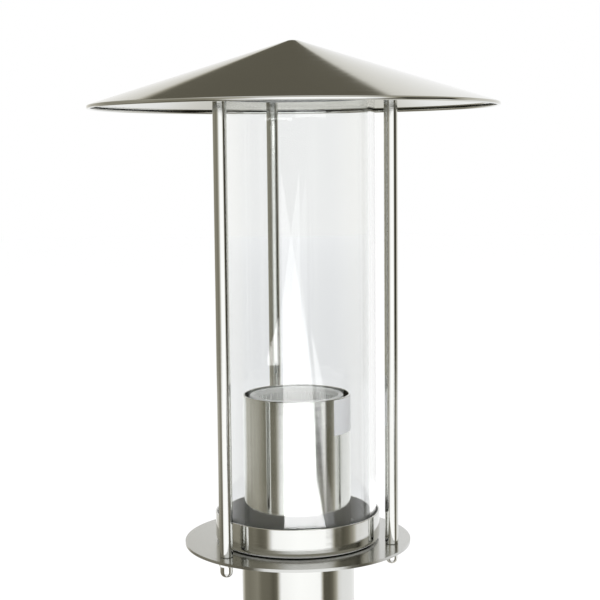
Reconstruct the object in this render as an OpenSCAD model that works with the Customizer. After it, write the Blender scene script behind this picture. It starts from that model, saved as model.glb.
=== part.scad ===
// Outdoor post lantern: conical hat on three rods, clear cylinder, screw lampholder, round post.
// Millimetres, +Z up, origin at the centre of the floor flange's underside.

/* [Floor flange] */
// Radius of the flange
flange_r = 59; // [50:0.5:80]
// Thickness of the flange plate
flange_t = 4; // [3:0.5:8]
// Radius of the rounding round the flange's upper edge
flange_edge = 1.5; // [0.5:0.25:2.5]
// Radius of the circle on which the anchor holes lie
anchor_circle_r = 46; // [38:0.5:47]
// Radius of one anchor hole
anchor_hole_r = 3.5; // [2.5:0.1:4.5]
// Number of anchor holes
anchor_count = 3; // [3:1:6]

/* [Cable inlet] */
// Radius of the hole for the cable in the grommet
cable_hole_r = 5; // [3:0.1:7]
// Wall of the grommet between the cable and its groove
grommet_wall = 1.6; // [1:0.1:3]
// How far the grommet's collar reaches past its hole in the flange
grommet_collar = 2; // [1:0.1:4]
// Height of the grommet above the flange
grommet_rise = 3; // [2:0.1:6]

/* [Post] */
// Outer radius of the post
post_r = 30; // [26:0.1:36]
// Wall of the post
post_wall = 1.5; // [1:0.1:3]
// Length of the post
post_length = 182; // [80:1:900]
// Thickness of the plate welded into the post's upper end
post_plate_t = 4; // [3:0.1:8]
// Radius of the cable hole through the plates at the post's upper end
riser_hole_r = 6; // [4:0.1:8]

/* [Base disc] */
// Radius of the disc that carries the rods
disc_r = 59.9; // [57:0.1:80]
// Thickness of the disc
disc_t = 1.5; // [1:0.1:4]

/* [Tray] */
// Outer radius of the tray
tray_r = 43.6; // [43:0.1:45.2]
// Height of the tray
tray_h = 15.4; // [8:0.1:30]
// Sheet thickness of the tray
tray_wall = 1; // [0.7:0.05:1.5]
// Outer radius of the tray's lower corner
tray_corner = 3; // [2:0.1:4]

/* [Glass cylinder] */
// Outer radius of the clear cylinder
glass_r = 41.9; // [40:0.1:42]
// Wall of the clear cylinder
glass_wall = 3; // [2:0.1:4]
// Thickness of the ring seal in the tray
tray_seal_t = 2; // [1.5:0.1:4]
// Width of the ring seal in the tray
tray_seal_w = 3.4; // [2:0.1:4]
// Thickness of the cap seal over the cylinder's upper edge
cap_seal_t = 2; // [1:0.1:4]
// Wall of the cap seal's two lips
cap_seal_lip_t = 1.2; // [0.8:0.1:2]
// Depth of the cap seal's two lips
cap_seal_lip = 5; // [3:0.1:8]

/* [Socket tube] */
// Outer radius of the socket tube
tube_r = 28.3; // [26:0.1:30]
// Height of the socket tube's mouth above the base disc
tube_top = 78; // [66:0.1:110]
// Sheet thickness of the socket tube
tube_wall = 0.8; // [0.6:0.05:1.5]

/* [Rating label] */
// Height of the blank label
label_h = 18.5; // [8:0.5:30]
// Drop from the socket tube's mouth to the label
label_drop = 0.5; // [0.3:0.1:20]
// Direction of the label's middle, counted from +X
label_turn = -14; // [-180:1:180]
// Angle that the label covers
label_span = 68; // [20:1:150]
// Thickness of the label
label_t = 0.15; // [0.1:0.01:0.4]

/* [Lampholder] */
// Outer radius of the lampholder's sleeve
sleeve_r = 24.8; // [22:0.1:26]
// Wall of the sleeve
sleeve_wall = 2.9; // [1.5:0.1:3.5]
// Drop from the socket tube's mouth to the sleeve's mouth
sleeve_drop = 0.3; // [0.1:0.1:6]
// Radius of the rounding on both edges of the sleeve's mouth
sleeve_edge = 0.8; // [0.2:0.1:1.4]
// Number of upright ribs inside the sleeve
rib_count = 60; // [24:1:72]
// How far a rib stands in from the sleeve's wall
rib_depth = 0.6; // [0.3:0.05:1]
// Width of one rib
rib_w = 0.9; // [0.5:0.05:1.2]
// Drop from the sleeve's mouth to the ribs
rib_drop = 2.5; // [1.5:0.1:8]
// Thickness of the rim under the sleeve, round the insulating block
core_rim_t = 2; // [1:0.1:4]
// Height of the insulating block's solid foot
core_foot = 12; // [11.5:0.5:16]
// Wall of the insulating block round the screw shell
core_wall = 3.2; // [2:0.1:5]
// Height of the insulating block's collar round the screw shell
core_collar = 22; // [14:0.5:26]
// Inner radius of the screw shell, clear of a 27 mm screw cap's crests
shell_bore_r = 13.4; // [13.3:0.05:13.8]
// Sheet thickness of the screw shell
shell_wall = 0.4; // [0.3:0.05:0.8]
// Length of the screw shell
shell_length = 25; // [20:0.5:28]
// Radius of the pocket for the centre contact, under the screw shell
contact_pocket_r = 10; // [8:0.1:12]
// Depth of the pocket for the centre contact
contact_pocket_h = 4; // [3.5:0.1:5]
// Radius of the centre contact
contact_r = 4; // [3:0.1:6]
// Height of the centre contact
contact_h = 3; // [2:0.1:3.4]

/* [Lampholder bracket] */
// Height of the bracket's bridge above its feet
bracket_h = 16; // [14:0.5:20]
// Width of the bracket strap
bracket_w = 14; // [12.5:0.5:18]
// Sheet thickness of the bracket
bracket_t = 1.5; // [1:0.1:2.5]
// Distance between the outsides of the bracket's two legs
bracket_span = 25; // [22:0.5:25.5]
// Distance of each clamp screw from the axis
clamp_screw_x = 17.5; // [17.2:0.1:18]
// Outer radius of the hollow nipple
nipple_r = 5; // [4:0.1:5.5]
// Radius of the wire hole through the nipple
nipple_bore_r = 3.4; // [2:0.1:3.6]
// How far the nipple reaches into the insulating block above its rim
nipple_grip = 3; // [1:0.5:4]
// Radius of the wire hole from the nipple to the centre contact
wire_hole_r = 1.7; // [1:0.1:2]
// Thickness of the nipple's nut
nipple_nut_t = 3; // [2:0.1:5]
// Width across the flats of the nipple's nut
nipple_nut_af = 14; // [12.5:0.1:15]

/* [Rods] */
// Radius of the circle on which the rods stand
rod_circle_r = 51.1; // [48.5:0.1:53]
// Radius of one rod
rod_r = 3.5; // [3:0.05:3.9]
// Direction of the first rod, counted from +X
rod_turn = -15.7; // [-60:0.1:60]
// Radius of the threaded ends, over the crests
stud_r = 2; // [1.5:0.05:2.5]
// Length of a rod's lower threaded end below the disc
stud_reach = 5; // [3.5:0.1:5.4]
// Length of the chamfer on each threaded end
stud_chamfer = 0.5; // [0.2:0.05:0.8]

/* [Nuts and screws] */
// Width across the flats of the small nuts
nut_af = 7; // [6.6:0.1:8]
// Thickness of a plain nut
nut_t = 3.2; // [2:0.1:3.6]
// Whole height of a dome nut
dome_nut_h = 9.2; // [7.2:0.1:10]
// Height of a dome nut's hexagon
dome_hex_h = 3.2; // [2.5:0.1:4]
// Depth of a dome nut's hole
dome_hole_h = 5.9; // [5.7:0.1:6.2]
// Radius of a pan screw's head
pan_head_r = 3.8; // [3.2:0.1:4.2]
// Height of a pan screw's head
pan_head_h = 2.6; // [1.8:0.1:3.2]
// Width and depth of a pan screw's slot
pan_slot = 1; // [0.6:0.1:1.4]

/* [Hat] */
// Outer radius of the hat
hat_r = 106.3; // [95:0.1:130]
// Height of the hat's lower edge above the base disc
hat_edge_z = 227.2; // [160:0.1:300]
// Slope of the hat, in degrees
hat_slope = 17.6; // [14:0.1:24]
// Sheet thickness of the hat
hat_sheet = 0.6; // [0.4:0.05:0.7]
// Outer radius of the rounded tip
tip_r = 12; // [4:0.5:25]
// Height of the straight band round the hat's edge
band_h = 1.2; // [1.05:0.05:5]
// Outer radius of the bend between the slope and the band
band_bend = 0.8; // [0.74:0.02:1.4]
// Outer radius of the hem rolled in under the edge
hem_r = 0.8; // [0.74:0.02:0.94]
// Height of the hem's inner lip
hem_lip = 1.2; // [1:0.05:1.4]

/* [Hat carrier] */
// Room between the nuts on the carrier and the hat above them
nut_room = 1; // [0.6:0.1:4]
// Width of the sloped flange that is welded under the hat, measured outwards
carrier_flange = 8; // [4:0.5:14]
// Sheet thickness of the carrier
carrier_t = 1.5; // [1:0.1:2.5]
// Radius of the vent hole in the carrier's middle
vent_r = 6; // [3:0.1:12]

/* [Clearances] */
// Gap between pieces that rest on each other and come apart
seat_gap = 0.2; // [0.1:0.05:0.5]
// Radial gap of a screw in its thread or a piece in its close seat
close_gap = 0.05; // [0.02:0.01:0.1]
// Radial gap of a screw in a plain hole
hole_gap = 0.25; // [0.15:0.05:0.5]
// Gap left by a welded or glued joint
weld_gap = 0.1; // [0.02:0.01:0.2]

/* [Hidden] */
$fn = 96;
rod_count = 3;

steel = "silver";
bright = "gainsboro";
white = "whitesmoke";
cut = 1;

// Heights, from the ground up
post_z = flange_t;
post_top_z = post_z + post_length;
disc_top_z = post_top_z + disc_t;
tube_floor_z = disc_top_z + tray_wall;
bracket_z = tube_floor_z + tube_wall;
bridge_z = bracket_z + bracket_h;
core_z = bridge_z + bracket_t;
shell_z = core_z + core_foot;
tube_mouth_z = disc_top_z + tube_top;
sleeve_mouth_z = tube_mouth_z - sleeve_drop;
glass_z = tube_floor_z + tray_seal_t + seat_gap;
hat_z = disc_top_z + hat_edge_z;

// The hat's section, measured from its lower edge
bend_r = hat_r - band_bend;
sharp_tip = band_h + bend_r * tan(hat_slope) + band_bend / cos(hat_slope);
tip_centre = sharp_tip - tip_r / cos(hat_slope);
slope_drop = (hat_sheet + weld_gap) / cos(hat_slope);

// The carrier's plate lies low enough for its nuts, and wide enough to meet the slope
nut_corner_r = nut_af / 2 / cos(30);
hat_low_at_nut = sharp_tip - hat_sheet / cos(hat_slope) - (rod_circle_r + nut_corner_r) * tan(hat_slope);
carrier_top = hat_low_at_nut - nut_room - nut_t;
carrier_r = (sharp_tip - slope_drop - carrier_top) / tan(hat_slope);
carrier_rim = carrier_r + carrier_flange;

carrier_top_z = hat_z + carrier_top;
carrier_low_z = carrier_top_z - carrier_t;
glass_top_z = carrier_low_z - seat_gap - cap_seal_t;
rod_low_z = disc_top_z + seat_gap;

// Holes that several plates share
clamp_hole_r = stud_r + hole_gap;
stud_hole_r = stud_r + hole_gap;
grommet_r = cable_hole_r + grommet_wall;
clamp_screw_low_z = post_top_z - post_plate_t + seat_gap;
core_r = sleeve_r - sleeve_wall - close_gap;
shell_r = shell_bore_r + shell_wall;
leg_x = bracket_span / 2;
foot_x = tube_r - tube_wall - 2;
nipple_low_z = bridge_z - nipple_nut_t - 1;
nipple_top_z = core_z + core_rim_t + nipple_grip;
pocket_z = shell_z - contact_pocket_h;

// Points of an arc from angle a to angle b
function arc(x, y, r, a, b, steps = 10) =
    [for (i = [0:steps]) let (t = a + (b - a) * i / steps) [x + r * cos(t), y + r * sin(t)]];

function rod_angle(i) = rod_turn + 360 * i / rod_count;

module at_rod(i) {
    rotate([0, 0, rod_angle(i)])
    translate([rod_circle_r, 0, 0])
    children();
}

module ring(r_out, r_in, h) {
    difference() {
        cylinder(r = r_out, h = h);
        translate([0, 0, -cut])
        cylinder(r = r_in, h = h + 2 * cut);
    }
}

module clamp_holes(z, h) {
    for (side = [-1, 1])
        translate([side * clamp_screw_x, 0, z - cut])
        cylinder(r = clamp_hole_r, h = h + 2 * cut);
}

// Holes that the cable and the clamp screws share in a stacked plate
module riser_holes(z, h) {
    translate([0, 0, z - cut])
    cylinder(r = riser_hole_r, h = h + 2 * cut);
    clamp_holes(z, h);
}

module hexagon(across_flats, h) {
    cylinder(r = across_flats / 2 / cos(30), h = h, $fn = 6);
}

// A hexagon whose corners are turned off at one or both ends, as on real nuts
module nut_blank(across_flats, h, low_chamfer, top_chamfer) {
    corner = across_flats / 2 / cos(30);
    flat = across_flats / 2;
    rise = (corner - flat) * tan(30);
    intersection() {
        hexagon(across_flats, h);
        rotate_extrude()
        polygon([
            [0, 0],
            [low_chamfer ? flat : corner, 0],
            [corner, low_chamfer ? rise : 0],
            [corner, h - (top_chamfer ? rise : 0)],
            [top_chamfer ? flat : corner, h],
            [0, h]
        ]);
    }
}

module plain_nut(across_flats, bore, h) {
    difference() {
        nut_blank(across_flats, h, true, true);
        translate([0, 0, -cut])
        cylinder(r = bore, h = h + 2 * cut);
    }
}

// A slotted pan screw standing point down, with its head on z = 0
module pan_screw(length) {
    difference() {
        union() {
            rotate_extrude()
            polygon(concat(
                [[0, 0], [pan_head_r, 0]],
                arc(pan_head_r - pan_head_h / 2, pan_head_h / 2, pan_head_h / 2, 0, 90, 6),
                [[0, pan_head_h]]
            ));
            translate([0, 0, -length])
            cylinder(r = stud_r, h = length + pan_head_h / 2);
        }
        translate([-pan_head_r - cut, -pan_slot / 2, pan_head_h - pan_slot])
        cube([2 * (pan_head_r + cut), pan_slot, pan_slot + cut]);
    }
}

module floor_flange() {
    color(steel)
    difference() {
        rotate_extrude()
        polygon(concat(
            [[0, 0], [flange_r, 0]],
            arc(flange_r - flange_edge, flange_t - flange_edge, flange_edge, 0, 90, 6),
            [[0, flange_t]]
        ));
        translate([0, 0, -cut])
        cylinder(r = grommet_r + close_gap, h = flange_t + 2 * cut);
        for (i = [0:anchor_count - 1])
            rotate([0, 0, rod_turn + 180 + 360 * i / anchor_count])
            translate([anchor_circle_r, 0, -cut])
            cylinder(r = anchor_hole_r, h = flange_t + 2 * cut);
    }
}

module cable_grommet() {
    color("dimgray")
    difference() {
        union() {
            cylinder(r = grommet_r, h = flange_t + cut);
            translate([0, 0, flange_t])
            rotate_extrude()
            polygon(concat(
                [[0, 0], [grommet_r + grommet_collar, 0]],
                arc(grommet_r + grommet_collar - 1, grommet_rise - 1, 1, 0, 90, 5),
                [[0, grommet_rise]]
            ));
        }
        translate([0, 0, -cut])
        cylinder(r = cable_hole_r, h = flange_t + grommet_rise + 2 * cut);
    }
}

module post_tube() {
    color(steel)
    translate([0, 0, post_z])
    ring(post_r, post_r - post_wall, post_length);
}

module post_top_plate() {
    color(steel)
    difference() {
        translate([0, 0, post_top_z - post_plate_t])
        cylinder(r = post_r - post_wall - weld_gap, h = post_plate_t);
        translate([0, 0, post_top_z - post_plate_t - cut])
        cylinder(r = riser_hole_r, h = post_plate_t + 2 * cut);
        for (side = [-1, 1])
            translate([side * clamp_screw_x, 0, post_top_z - post_plate_t - cut])
            cylinder(r = stud_r + close_gap, h = post_plate_t + 2 * cut);
    }
}

module base_disc() {
    color(steel)
    difference() {
        translate([0, 0, post_top_z])
        cylinder(r = disc_r, h = disc_t);
        riser_holes(post_top_z, disc_t);
        for (i = [0:rod_count - 1])
            at_rod(i)
            translate([0, 0, post_top_z - cut])
            cylinder(r = stud_hole_r, h = disc_t + 2 * cut);
    }
}

// A pressed cup: flat floor, rounded corner, upright wall
module tray() {
    inner_corner = tray_corner - tray_wall;
    color(steel)
    difference() {
        translate([0, 0, disc_top_z])
        rotate_extrude()
        polygon(concat(
            [[0, 0]],
            arc(tray_r - tray_corner, tray_corner, tray_corner, -90, 0, 8),
            [[tray_r, tray_h], [tray_r - tray_wall, tray_h]],
            arc(tray_r - tray_corner, tray_corner, inner_corner, 0, -90, 8),
            [[0, tray_wall]]
        ));
        riser_holes(disc_top_z, tray_wall);
    }
}

module tray_seal() {
    color("white", 0.7)
    translate([0, 0, tube_floor_z])
    ring(tray_r - tray_corner, tray_r - tray_corner - tray_seal_w, tray_seal_t);
}

module socket_tube() {
    color(steel)
    difference() {
        translate([0, 0, tube_floor_z])
        cylinder(r = tube_r, h = tube_mouth_z - tube_floor_z);
        translate([0, 0, bracket_z])
        cylinder(r = tube_r - tube_wall, h = tube_mouth_z - bracket_z + cut);
        riser_holes(tube_floor_z, tube_wall);
    }
}

module rating_label() {
    inner = tube_r + close_gap / 2;
    color("white")
    rotate([0, 0, label_turn - label_span / 2])
    translate([0, 0, tube_mouth_z - label_drop - label_h])
    rotate_extrude(angle = label_span)
    translate([inner, 0])
    square([label_t, label_h]);
}

// A bent strap: two feet, two legs and a bridge that carries the lampholder
module lamp_bracket() {
    color(bright)
    difference() {
        translate([0, bracket_w / 2, bracket_z])
        rotate([90, 0, 0])
        linear_extrude(height = bracket_w)
        polygon([
            [-foot_x, 0], [-leg_x + bracket_t, 0], [-leg_x + bracket_t, bracket_h],
            [leg_x - bracket_t, bracket_h], [leg_x - bracket_t, 0], [foot_x, 0],
            [foot_x, bracket_t], [leg_x, bracket_t], [leg_x, bracket_h + bracket_t],
            [-leg_x, bracket_h + bracket_t], [-leg_x, bracket_t], [-foot_x, bracket_t]
        ]);
        clamp_holes(bracket_z, bracket_t);
        translate([0, 0, bridge_z - cut])
        cylinder(r = nipple_r + hole_gap, h = bracket_t + 2 * cut);
        earth_screw_hole();
    }
}

// The earth screw goes through the bracket's leg, level, facing outwards
module at_earth_screw() {
    translate([leg_x, 0, bridge_z - pan_head_r - bracket_t])
    rotate([0, 90, 0])
    children();
}

module earth_screw_hole() {
    at_earth_screw()
    translate([0, 0, -bracket_t - cut])
    cylinder(r = stud_r + close_gap, h = bracket_t + 2 * cut);
}

module earth_screw() {
    color("goldenrod")
    at_earth_screw()
    pan_screw(bracket_t + 2);
}

module clamp_screw(side) {
    head_z = bracket_z + bracket_t;
    color(bright)
    translate([side * clamp_screw_x, 0, head_z])
    pan_screw(head_z - clamp_screw_low_z);
}

module nipple() {
    color("goldenrod")
    translate([0, 0, nipple_low_z])
    ring(nipple_r, nipple_bore_r, nipple_top_z - nipple_low_z);
}

module nipple_nut() {
    color("goldenrod")
    translate([0, 0, bridge_z - nipple_nut_t])
    plain_nut(nipple_nut_af, nipple_r + close_gap, nipple_nut_t);
}

// The insulating block: a rim, a solid foot screwed on the nipple, a collar round the shell
module lampholder_core() {
    color(white)
    difference() {
        union() {
            translate([0, 0, core_z])
            cylinder(r = sleeve_r, h = core_rim_t);
            translate([0, 0, core_z])
            cylinder(r = core_r, h = core_foot);
            translate([0, 0, shell_z])
            cylinder(r = shell_r + core_wall, h = core_collar);
        }
        translate([0, 0, shell_z])
        cylinder(r = shell_r + close_gap, h = core_collar + cut);
        translate([0, 0, pocket_z])
        cylinder(r = contact_pocket_r, h = contact_pocket_h + cut);
        translate([0, 0, core_z - cut])
        cylinder(r = nipple_r + close_gap, h = nipple_top_z - core_z + cut);
        translate([0, 0, nipple_top_z - cut])
        cylinder(r = wire_hole_r, h = pocket_z - nipple_top_z + 2 * cut);
    }
}

module screw_shell() {
    color("goldenrod")
    translate([0, 0, shell_z])
    ring(shell_r, shell_bore_r, shell_length);
}

module centre_contact() {
    round_r = contact_h / 2;
    color("goldenrod")
    translate([0, 0, pocket_z])
    rotate_extrude()
    polygon(concat(
        [[0, 0], [contact_r, 0]],
        arc(contact_r - round_r, contact_h - round_r, round_r, 0, 90, 6),
        [[0, contact_h]]
    ));
}

// The sleeve stands on the block's rim, round its foot, with a rounded mouth
module lampholder_sleeve() {
    inner = sleeve_r - sleeve_wall;
    low_z = core_z + core_rim_t;
    h = sleeve_mouth_z - low_z;
    color(white) {
        translate([0, 0, low_z])
        rotate_extrude()
        polygon(concat(
            [[inner, 0], [sleeve_r, 0]],
            arc(sleeve_r - sleeve_edge, h - sleeve_edge, sleeve_edge, 0, 90, 5),
            arc(inner + sleeve_edge, h - sleeve_edge, sleeve_edge, 90, 180, 5)
        ));
        sleeve_ribs();
    }
}

// Upright ribs round the sleeve's inside, from the insulating block almost to the mouth
module sleeve_ribs() {
    low_z = shell_z + seat_gap;
    root = sleeve_wall / 2;
    for (i = [0:rib_count - 1])
        rotate([0, 0, 360 * i / rib_count])
        translate([sleeve_r - sleeve_wall - rib_depth, -rib_w / 2, low_z])
        cube([rib_depth + root, rib_w, sleeve_mouth_z - rib_drop - low_z]);
}

module glass_cylinder() {
    color("lightcyan", 0.3)
    translate([0, 0, glass_z])
    ring(glass_r, glass_r - glass_wall, glass_top_z - glass_z);
}

// A channel of soft rubber pushed over the cylinder's upper edge
module glass_cap_seal() {
    outer = glass_r + close_gap;
    inner = glass_r - glass_wall - close_gap;
    color("white", 0.7)
    translate([0, 0, glass_top_z])
    rotate_extrude()
    polygon([
        [inner - cap_seal_lip_t, -cap_seal_lip], [inner, -cap_seal_lip], [inner, 0],
        [outer, 0], [outer, -cap_seal_lip], [outer + cap_seal_lip_t, -cap_seal_lip],
        [outer + cap_seal_lip_t, cap_seal_t], [inner - cap_seal_lip_t, cap_seal_t]
    ]);
}

// Conical sheet with a rounded tip, an upright band and a hem rolled in under the edge
module hat_shell() {
    hem_x = hat_r - hem_r;
    lip_x = hat_r - 2 * hem_r;
    color(steel)
    translate([0, 0, hat_z])
    rotate_extrude()
    polygon(concat(
        [[hat_r, hem_r]],
        arc(bend_r, band_h, band_bend, 0, 90 - hat_slope, 6),
        arc(0, tip_centre, tip_r, 90 - hat_slope, 90, 8),
        arc(0, tip_centre, tip_r - hat_sheet, 90, 90 - hat_slope, 8),
        arc(bend_r, band_h, band_bend - hat_sheet, 90 - hat_slope, 0, 6),
        arc(hem_x, hem_r, hem_r - hat_sheet, 0, -180, 8),
        [[lip_x + hat_sheet, hem_lip], [lip_x, hem_lip]],
        arc(hem_x, hem_r, hem_r, -180, -9, 19)
    ));
}

// A flat plate with a sloped flange that lies along the hat's underside
module hat_carrier() {
    fall = carrier_flange * tan(hat_slope);
    flange_h = carrier_t / cos(hat_slope);
    color(steel)
    difference() {
        translate([0, 0, carrier_low_z])
        rotate_extrude()
        polygon([
            [vent_r, 0], [carrier_r - carrier_t * tan(hat_slope / 2), 0],
            [carrier_rim, carrier_t - fall - flange_h], [carrier_rim, carrier_t - fall],
            [carrier_r, carrier_t], [vent_r, carrier_t]
        ]);
        for (i = [0:rod_count - 1])
            at_rod(i)
            translate([0, 0, carrier_low_z - cut])
            cylinder(r = stud_hole_r, h = carrier_t + 2 * cut);
    }
}

// A round rod with a shoulder and a thinner threaded end above and below
module rod(i) {
    stud_low = post_top_z - stud_reach;
    stud_top = carrier_top_z + nut_t + stud_chamfer;
    color(steel)
    at_rod(i)
    rotate_extrude()
    polygon([
        [0, stud_low], [stud_r - stud_chamfer, stud_low], [stud_r, stud_low + stud_chamfer],
        [stud_r, rod_low_z], [rod_r, rod_low_z], [rod_r, carrier_low_z],
        [stud_r, carrier_low_z], [stud_r, stud_top - stud_chamfer],
        [stud_r - stud_chamfer, stud_top], [0, stud_top]
    ]);
}

module carrier_nut(i) {
    color(bright)
    at_rod(i)
    translate([0, 0, carrier_top_z])
    plain_nut(nut_af, stud_r + close_gap, nut_t);
}

// A dome nut, hanging dome down under the disc
module cap_nut(i) {
    dome_r = nut_af / 2 - 0.3;
    dome_side = dome_nut_h - dome_r;
    color(bright)
    at_rod(i)
    translate([0, 0, post_top_z - seat_gap])
    rotate([180, 0, 0])
    difference() {
        union() {
            nut_blank(nut_af, dome_hex_h, true, true);
            rotate_extrude()
            polygon(concat(
                [[0, dome_hex_h - cut], [dome_r, dome_hex_h - cut]],
                arc(0, dome_side, dome_r, 0, 90, 12)
            ));
        }
        translate([0, 0, -cut])
        cylinder(r = stud_r + close_gap, h = dome_hole_h + cut);
    }
}

floor_flange();
cable_grommet();
post_tube();
post_top_plate();
base_disc();
tray();
tray_seal();
socket_tube();
rating_label();
lamp_bracket();
clamp_screw(1);  // clamp_screw_1
clamp_screw(-1);  // clamp_screw_2
earth_screw();
nipple();
nipple_nut();
lampholder_core();
screw_shell();
centre_contact();
lampholder_sleeve();
glass_cylinder();
glass_cap_seal();
hat_shell();
hat_carrier();
for (i = [0:rod_count - 1]) {
    rod(i);
    carrier_nut(i);
    cap_nut(i);
}
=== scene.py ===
# %% [markdown]
# # An outdoor post lantern in brushed stainless steel
#
# A conical hat stands on three slim rods over a clear cylinder, and a screw lampholder
# waits in a short tube inside it. Nearly everything is spun, turned or drawn metal, so
# nearly every form is a section turned round an axis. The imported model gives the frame:
# the script reads heights and radii from its boxes and only adds finish and fine form.

import math

import bmesh
import bpy
from mathutils import Matrix, Vector


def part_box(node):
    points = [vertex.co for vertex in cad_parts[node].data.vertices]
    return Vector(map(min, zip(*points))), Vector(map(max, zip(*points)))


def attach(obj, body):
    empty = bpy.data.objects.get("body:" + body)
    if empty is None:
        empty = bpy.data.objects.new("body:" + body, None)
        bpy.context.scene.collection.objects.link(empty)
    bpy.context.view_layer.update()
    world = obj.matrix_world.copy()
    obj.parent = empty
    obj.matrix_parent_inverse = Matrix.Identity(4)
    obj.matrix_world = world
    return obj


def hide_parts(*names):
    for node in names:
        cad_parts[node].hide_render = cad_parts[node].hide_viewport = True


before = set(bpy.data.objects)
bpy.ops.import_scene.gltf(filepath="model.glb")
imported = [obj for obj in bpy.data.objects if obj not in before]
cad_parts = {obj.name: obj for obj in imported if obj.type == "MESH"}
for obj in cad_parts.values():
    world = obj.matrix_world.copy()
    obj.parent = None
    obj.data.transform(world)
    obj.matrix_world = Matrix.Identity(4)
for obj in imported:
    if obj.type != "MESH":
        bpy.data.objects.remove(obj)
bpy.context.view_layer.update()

# %% [markdown]
# ## Heights and radii
#
# The real pieces stack on one axis, so a few heights place them all. Typing them again
# would let the looks drift away from the solids. Reading each from the box of a packed
# node keeps the two together when a size changes.

# %% Read the stack
MM = 0.001


def low_z(node):
    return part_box(node)[0].z


def top_z(node):
    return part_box(node)[1].z


def radius(node):
    low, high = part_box(node)
    return (high.x - low.x) / 2


def middle(node):
    low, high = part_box(node)
    return (low + high) / 2


disc_top = top_z("base_disc")
hat_low = low_z("hat_shell")
print(f"disc top {disc_top:.4f} m, hat edge {hat_low:.4f} m, tip {top_z('hat_shell'):.4f} m")

# %% [markdown]
# ## Turned sections
#
# A spun hat, a drawn tray or a ground rod is a section turned once round its axis. The
# Spin tool or a Screw modifier would do it, but neither writes the map that brushed metal
# needs. This helper turns the section itself: one ring of points for each section point,
# one shared point where the section meets the axis. Its map runs along the section in
# metres and once round the axis, so a finish can follow the grain.

# %% Arcs and straight lines
SUPPORT = 0.12 * MM


def arc(x, z, r, start, end, steps=8):
    """Points of an arc in a section, from start to end in degrees."""
    turn = [math.radians(start + (end - start) * i / steps) for i in range(steps + 1)]
    return [(x + r * math.cos(t), z + r * math.sin(t)) for t in turn]


def straight(a, b, steps):
    """Points between two section points, with one very near each end.

    Smooth shading blends the direction of a face into its neighbour's. The close end
    points keep that blend to the rounded edge, so the long face stays truly straight.
    """
    near = min(0.25, SUPPORT / math.dist(a, b))
    shares = [near] + [i / steps for i in range(1, steps)] + [1 - near]
    return [(a[0] + (b[0] - a[0]) * t, a[1] + (b[1] - a[1]) * t) for t in shares]


# %% Finish a mesh and put it in place
def add_object(name, mesh, body, slot, *nodes):
    """Puts a finished mesh in the scene, on its body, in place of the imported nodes."""
    piece = bpy.data.objects.new(name, mesh)
    bpy.context.scene.collection.objects.link(piece)
    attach(piece, body)
    if nodes:
        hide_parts(*nodes)
    return piece


def finish_mesh(bm, name, crease=30):
    """Writes a bmesh to a smooth mesh whose edges stay sharp above an angle."""
    bmesh.ops.recalc_face_normals(bm, faces=bm.faces)
    mesh = bpy.data.meshes.new(name)
    bm.to_mesh(mesh)
    bm.free()
    mesh.polygons.foreach_set("use_smooth", [True] * len(mesh.polygons))
    mesh.set_sharp_from_angle(angle=math.radians(crease))
    return mesh


# %% Turn a section
ON_AXIS = 1e-7


def turn_section(bm, section, segments, at):
    """Turns a closed section of (radius, height) points round an upright axis.

    The grain map runs along the section in metres, and from 0 to 1 round the axis.
    """
    grain = bm.loops.layers.uv.get("grain") or bm.loops.layers.uv.new("grain")
    rings = []
    for r, z in section:
        if r < ON_AXIS:
            rings.append([bm.verts.new((at[0], at[1], z))] * segments)
            continue
        ring = []
        for i in range(segments):
            t = 2 * math.pi * i / segments
            ring.append(bm.verts.new((at[0] + r * math.cos(t), at[1] + r * math.sin(t), z)))
        rings.append(ring)
    along = [0.0]
    for a, b in zip(section, section[1:] + section[:1]):
        along.append(along[-1] + math.dist(a, b))
    for k in range(len(section)):
        lower, upper = rings[k], rings[(k + 1) % len(section)]
        for i in range(segments):
            j = (i + 1) % segments
            corners = [
                (lower[i], k, i), (lower[j], k, i + 1), (upper[j], k + 1, i + 1), (upper[i], k + 1, i)
            ]
            kept = []
            for corner in corners:
                if not kept or corner[0] is not kept[-1][0]:
                    kept.append(corner)
            if kept[0][0] is kept[-1][0]:
                kept.pop()
            if len(kept) < 3:
                continue
            face = bm.faces.new([c[0] for c in kept])
            for loop, (_, step, slice_) in zip(face.loops, kept):
                loop[grain].uv = (along[step], slice_ / segments)


def turned(name, section, body, slot, *nodes, segments=192, at=(0.0, 0.0), crease=30):
    """A turned piece on its body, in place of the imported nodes."""
    bm = bmesh.new()
    turn_section(bm, section, segments, at)
    piece = add_object(name, finish_mesh(bm, name, crease), body, slot, *nodes)
    print(f"{name}: {len(piece.data.polygons)} faces")
    return piece


# %% [markdown]
# ## Brushed steel
#
# Stainless sheet is brushed with an abrasive belt. The scratches are far too fine to see
# one by one, but they spread a reflection across the grain, so a strip light becomes a
# long soft band. One way is to model scratches in a bump map alone, which flickers. The
# way used here adds the shader's own anisotropy, with a tangent from the grain map, and
# only a faint bump and a slight change of roughness on top.

# %% Node helpers
STEEL = (0.69, 0.695, 0.675)
NOISE_LOW, NOISE_HIGH = 0.3, 0.7


def new_material(name):
    """A material with just a shader and an output, and its tree and shader."""
    material = bpy.data.materials.new(name)
    material.use_nodes = True
    tree = material.node_tree
    tree.nodes.clear()
    output = tree.nodes.new("ShaderNodeOutputMaterial")
    shader = tree.nodes.new("ShaderNodeBsdfPrincipled")
    tree.links.new(shader.outputs[0], output.inputs["Surface"])
    return material, tree, shader


def add_node(tree, kind, settings=(), **inputs):
    """A node with its own settings, and its inputs set or linked by name, or by number as i0."""
    node = tree.nodes.new(kind)
    for name, value in dict(settings).items():
        setattr(node, name, value)
    for name, value in inputs.items():
        socket = node.inputs[name] if name in node.inputs else node.inputs[int(name[1:])]
        if isinstance(value, bpy.types.NodeSocket):
            tree.links.new(value, socket)
        else:
            socket.default_value = value
    return node


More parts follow.
